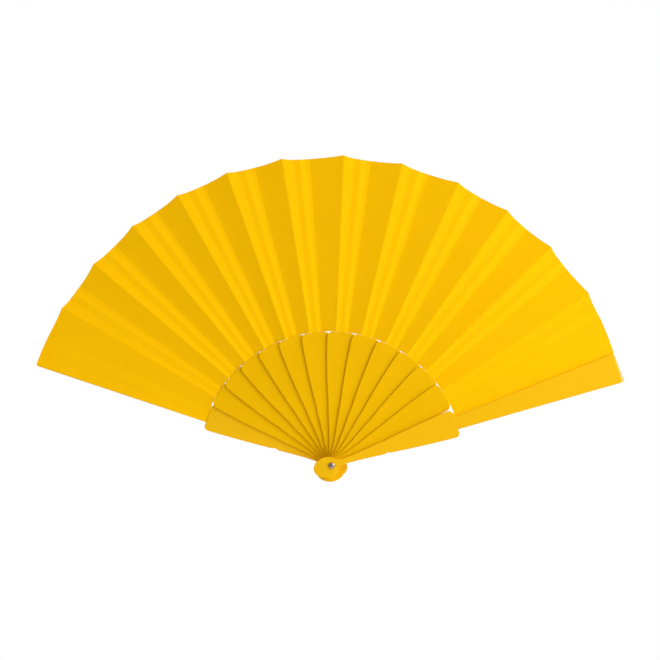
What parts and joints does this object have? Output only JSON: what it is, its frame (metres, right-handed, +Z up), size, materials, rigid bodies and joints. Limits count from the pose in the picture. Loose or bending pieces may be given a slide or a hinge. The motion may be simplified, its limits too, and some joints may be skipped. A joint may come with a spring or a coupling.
{
  "type": "folding hand fan",
  "caption": "Folding hand fan, spread open: flat plastic sticks and wide guards turning on a rivet, with a pleated yellow fabric leaf that folds away between them.",
  "frame": {"origin": "on the rivet's axis, halfway through the stack of sticks, where the hand pinches the heads", "axes": "+X to the right as seen from the front, -Y the front, where the domed rivet head is, +Z up the middle of the open fan"},
  "size_m": [0.4063, 0.0205, 0.227],
  "materials": {
    "stick_plastic": "satin moulded yellow",
    "guard_plastic": "satin moulded yellow",
    "leaf_cloth": "plain-woven polyester, pressed pleats",
    "rivet_steel": "polished"
  },
  "bodies": {
    "back_guard": {"back_guard": "guard_plastic", "leaf_panel_00": "leaf_cloth", "rivet": "rivet_steel", "rear_washer": "rivet_steel"},
    "stick_01": {"stick_01": "stick_plastic", "leaf_panel_01": "leaf_cloth"},
    "stick_02": {"stick_02": "stick_plastic", "leaf_panel_02": "leaf_cloth"},
    "stick_03": {"stick_03": "stick_plastic", "leaf_panel_03": "leaf_cloth"},
    "stick_04": {"stick_04": "stick_plastic", "leaf_panel_04": "leaf_cloth"},
    "stick_05": {"stick_05": "stick_plastic", "leaf_panel_05": "leaf_cloth"},
    "stick_06": {"stick_06": "stick_plastic", "leaf_panel_06": "leaf_cloth"},
    "stick_07": {"stick_07": "stick_plastic", "leaf_panel_07": "leaf_cloth"},
    "stick_08": {"stick_08": "stick_plastic", "leaf_panel_08": "leaf_cloth"},
    "stick_09": {"stick_09": "stick_plastic", "leaf_panel_09": "leaf_cloth"},
    "stick_10": {"stick_10": "stick_plastic", "leaf_panel_10": "leaf_cloth"},
    "stick_11": {"stick_11": "stick_plastic", "leaf_panel_11": "leaf_cloth"},
    "stick_12": {"stick_12": "stick_plastic", "leaf_panel_12": "leaf_cloth"},
    "front_guard": {"front_guard": "guard_plastic", "leaf_panel_13": "leaf_cloth"},
    "leaf_web_00": {"leaf_web_00": "leaf_cloth"},
    "leaf_web_01": {"leaf_web_01": "leaf_cloth"},
    "leaf_web_02": {"leaf_web_02": "leaf_cloth"},
    "leaf_web_03": {"leaf_web_03": "leaf_cloth"},
    "leaf_web_04": {"leaf_web_04": "leaf_cloth"},
    "leaf_web_05": {"leaf_web_05": "leaf_cloth"},
    "leaf_web_06": {"leaf_web_06": "leaf_cloth"},
    "leaf_web_07": {"leaf_web_07": "leaf_cloth"},
    "leaf_web_08": {"leaf_web_08": "leaf_cloth"},
    "leaf_web_09": {"leaf_web_09": "leaf_cloth"},
    "leaf_web_10": {"leaf_web_10": "leaf_cloth"},
    "leaf_web_11": {"leaf_web_11": "leaf_cloth"},
    "leaf_web_12": {"leaf_web_12": "leaf_cloth"}
  },
  "joints": [
    {"name": "stick_01_hinge", "type": "hinge", "parent": "back_guard", "child": "stick_01", "pos_m": [0, 0, 0], "axis": [0, -1, 0], "range_deg": [0, 11.2]},
    {"name": "stick_02_hinge", "type": "hinge", "parent": "stick_01", "child": "stick_02", "pos_m": [0, 0, 0], "axis": [0, -1, 0], "range_deg": [0, 10]},
    {"name": "stick_03_hinge", "type": "hinge", "parent": "stick_02", "child": "stick_03", "pos_m": [0, 0, 0], "axis": [0, -1, 0], "range_deg": [0, 10]},
    {"name": "stick_04_hinge", "type": "hinge", "parent": "stick_03", "child": "stick_04", "pos_m": [0, 0, 0], "axis": [0, -1, 0], "range_deg": [0, 10]},
    {"name": "stick_05_hinge", "type": "hinge", "parent": "stick_04", "child": "stick_05", "pos_m": [0, 0, 0], "axis": [0, -1, 0], "range_deg": [0, 10]},
    {"name": "stick_06_hinge", "type": "hinge", "parent": "stick_05", "child": "stick_06", "pos_m": [0, 0, 0], "axis": [0, -1, 0], "range_deg": [0, 10.5]},
    {"name": "stick_07_hinge", "type": "hinge", "parent": "stick_06", "child": "stick_07", "pos_m": [0, 0, 0], "axis": [0, -1, 0], "range_deg": [0, 11.5]},
    {"name": "stick_08_hinge", "type": "hinge", "parent": "stick_07", "child": "stick_08", "pos_m": [0, 0, 0], "axis": [0, -1, 0], "range_deg": [0, 11]},
    {"name": "stick_09_hinge", "type": "hinge", "parent": "stick_08", "child": "stick_09", "pos_m": [0, 0, 0], "axis": [0, -1, 0], "range_deg": [0, 11]},
    {"name": "stick_10_hinge", "type": "hinge", "parent": "stick_09", "child": "stick_10", "pos_m": [0, 0, 0], "axis": [0, -1, 0], "range_deg": [0, 10.5]},
    {"name": "stick_11_hinge", "type": "hinge", "parent": "stick_10", "child": "stick_11", "pos_m": [0, 0, 0], "axis": [0, -1, 0], "range_deg": [0, 10.5]},
    {"name": "stick_12_hinge", "type": "hinge", "parent": "stick_11", "child": "stick_12", "pos_m": [0, 0, 0], "axis": [0, -1, 0], "range_deg": [0, 11]},
    {"name": "front_guard_hinge", "type": "hinge", "parent": "stick_12", "child": "front_guard", "pos_m": [0, 0, 0], "axis": [0, -1, 0], "range_deg": [0, 12.8]},
    {"name": "leaf_web_00_fold", "type": "hinge", "parent": "back_guard", "child": "leaf_web_00", "pos_m": [0, 0, 0], "axis": [0, -1, 0], "range_deg": [0, 5.6]},
    {"name": "leaf_web_01_fold", "type": "hinge", "parent": "stick_01", "child": "leaf_web_01", "pos_m": [0, 0, 0], "axis": [0, -1, 0], "range_deg": [0, 5]},
    {"name": "leaf_web_02_fold", "type": "hinge", "parent": "stick_02", "child": "leaf_web_02", "pos_m": [0, 0, 0], "axis": [0, -1, 0], "range_deg": [0, 5]},
    {"name": "leaf_web_03_fold", "type": "hinge", "parent": "stick_03", "child": "leaf_web_03", "pos_m": [0, 0, 0], "axis": [0, -1, 0], "range_deg": [0, 5]},
    {"name": "leaf_web_04_fold", "type": "hinge", "parent": "stick_04", "child": "leaf_web_04", "pos_m": [0, 0, 0], "axis": [0, -1, 0], "range_deg": [0, 5]},
    {"name": "leaf_web_05_fold", "type": "hinge", "parent": "stick_05", "child": "leaf_web_05", "pos_m": [0, 0, 0], "axis": [0, -1, 0], "range_deg": [0, 5.25]},
    {"name": "leaf_web_06_fold", "type": "hinge", "parent": "stick_06", "child": "leaf_web_06", "pos_m": [0, 0, 0], "axis": [0, -1, 0], "range_deg": [0, 5.75]},
    {"name": "leaf_web_07_fold", "type": "hinge", "parent": "stick_07", "child": "leaf_web_07", "pos_m": [0, 0, 0], "axis": [0, -1, 0], "range_deg": [0, 5.5]},
    {"name": "leaf_web_08_fold", "type": "hinge", "parent": "stick_08", "child": "leaf_web_08", "pos_m": [0, 0, 0], "axis": [0, -1, 0], "range_deg": [0, 5.5]},
    {"name": "leaf_web_09_fold", "type": "hinge", "parent": "stick_09", "child": "leaf_web_09", "pos_m": [0, 0, 0], "axis": [0, -1, 0], "range_deg": [0, 5.25]},
    {"name": "leaf_web_10_fold", "type": "hinge", "parent": "stick_10", "child": "leaf_web_10", "pos_m": [0, 0, 0], "axis": [0, -1, 0], "range_deg": [0, 5.25]},
    {"name": "leaf_web_11_fold", "type": "hinge", "parent": "stick_11", "child": "leaf_web_11", "pos_m": [0, 0, 0], "axis": [0, -1, 0], "range_deg": [0, 5.5]},
    {"name": "leaf_web_12_fold", "type": "hinge", "parent": "stick_12", "child": "leaf_web_12", "pos_m": [0, 0, 0], "axis": [0, -1, 0], "range_deg": [0, 6.4]}
  ],
  "couplings": [
    {"joint": "stick_02_hinge", "follows": "stick_01_hinge", "ratio": 0.89286},
    {"joint": "stick_03_hinge", "follows": "stick_01_hinge", "ratio": 0.89286},
    {"joint": "stick_04_hinge", "follows": "stick_01_hinge", "ratio": 0.89286},
    {"joint": "stick_05_hinge", "follows": "stick_01_hinge", "ratio": 0.89286},
    {"joint": "stick_06_hinge", "follows": "stick_01_hinge", "ratio": 0.9375},
    {"joint": "stick_07_hinge", "follows": "stick_01_hinge", "ratio": 1.0268},
    {"joint": "stick_08_hinge", "follows": "stick_01_hinge", "ratio": 0.98214},
    {"joint": "stick_09_hinge", "follows": "stick_01_hinge", "ratio": 0.98214},
    {"joint": "stick_10_hinge", "follows": "stick_01_hinge", "ratio": 0.9375},
    {"joint": "stick_11_hinge", "follows": "stick_01_hinge", "ratio": 0.9375},
    {"joint": "stick_12_hinge", "follows": "stick_01_hinge", "ratio": 0.98214},
    {"joint": "front_guard_hinge", "follows": "stick_01_hinge", "ratio": 1.1429},
    {"joint": "leaf_web_00_fold", "follows": "stick_01_hinge", "ratio": 0.5},
    {"joint": "leaf_web_01_fold", "follows": "stick_01_hinge", "ratio": 0.44643},
    {"joint": "leaf_web_02_fold", "follows": "stick_01_hinge", "ratio": 0.44643},
    {"joint": "leaf_web_03_fold", "follows": "stick_01_hinge", "ratio": 0.44643},
    {"joint": "leaf_web_04_fold", "follows": "stick_01_hinge", "ratio": 0.44643},
    {"joint": "leaf_web_05_fold", "follows": "stick_01_hinge", "ratio": 0.46875},
    {"joint": "leaf_web_06_fold", "follows": "stick_01_hinge", "ratio": 0.51339},
    {"joint": "leaf_web_07_fold", "follows": "stick_01_hinge", "ratio": 0.49107},
    {"joint": "leaf_web_08_fold", "follows": "stick_01_hinge", "ratio": 0.49107},
    {"joint": "leaf_web_09_fold", "follows": "stick_01_hinge", "ratio": 0.46875},
    {"joint": "leaf_web_10_fold", "follows": "stick_01_hinge", "ratio": 0.46875},
    {"joint": "leaf_web_11_fold", "follows": "stick_01_hinge", "ratio": 0.49107},
    {"joint": "leaf_web_12_fold", "follows": "stick_01_hinge", "ratio": 0.57143}
  ]
}
